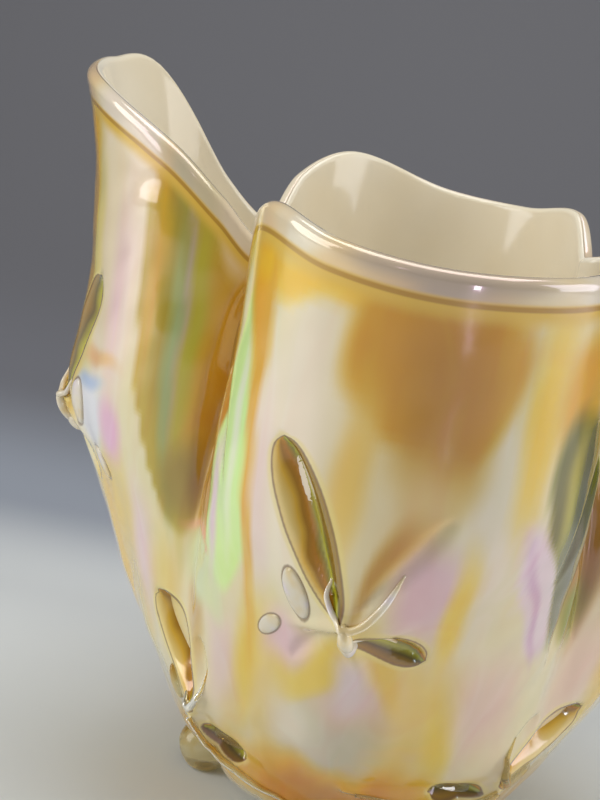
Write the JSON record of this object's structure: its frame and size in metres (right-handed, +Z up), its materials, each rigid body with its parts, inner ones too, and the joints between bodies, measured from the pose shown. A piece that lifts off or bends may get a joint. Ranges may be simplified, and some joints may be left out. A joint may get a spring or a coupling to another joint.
{
  "type": "vase",
  "caption": "Blown glass vase, iridescent amber over opal, opened into deep round lobes with a wavy rim, pinched stars and small pulled feet.",
  "frame": {"origin": "middle of the vase's box, on the surface it stands on", "axes": "+Z up, +X towards the right lobe, -Y towards the front lobe"},
  "size_m": [0.185, 0.185, 0.1797],
  "materials": {
    "amber_glass": "gloss, iridised",
    "opal_glass": "gloss",
    "clear_amber_glass": "gloss"
  },
  "bodies": {
    "root": {"amber_casing": "amber_glass", "opal_liner": "opal_glass", "pinched_star_right": "clear_amber_glass", "pinched_star_back": "clear_amber_glass", "pinched_star_left": "clear_amber_glass", "pinched_star_front": "clear_amber_glass", "pinched_corner_right_back": "clear_amber_glass", "pinched_corner_back_left": "clear_amber_glass", "pinched_corner_left_front": "clear_amber_glass", "pinched_corner_front_right": "clear_amber_glass", "foot_right": "clear_amber_glass", "foot_back": "clear_amber_glass", "foot_left": "clear_amber_glass", "foot_front": "clear_amber_glass"}
  },
  "joints": []
}
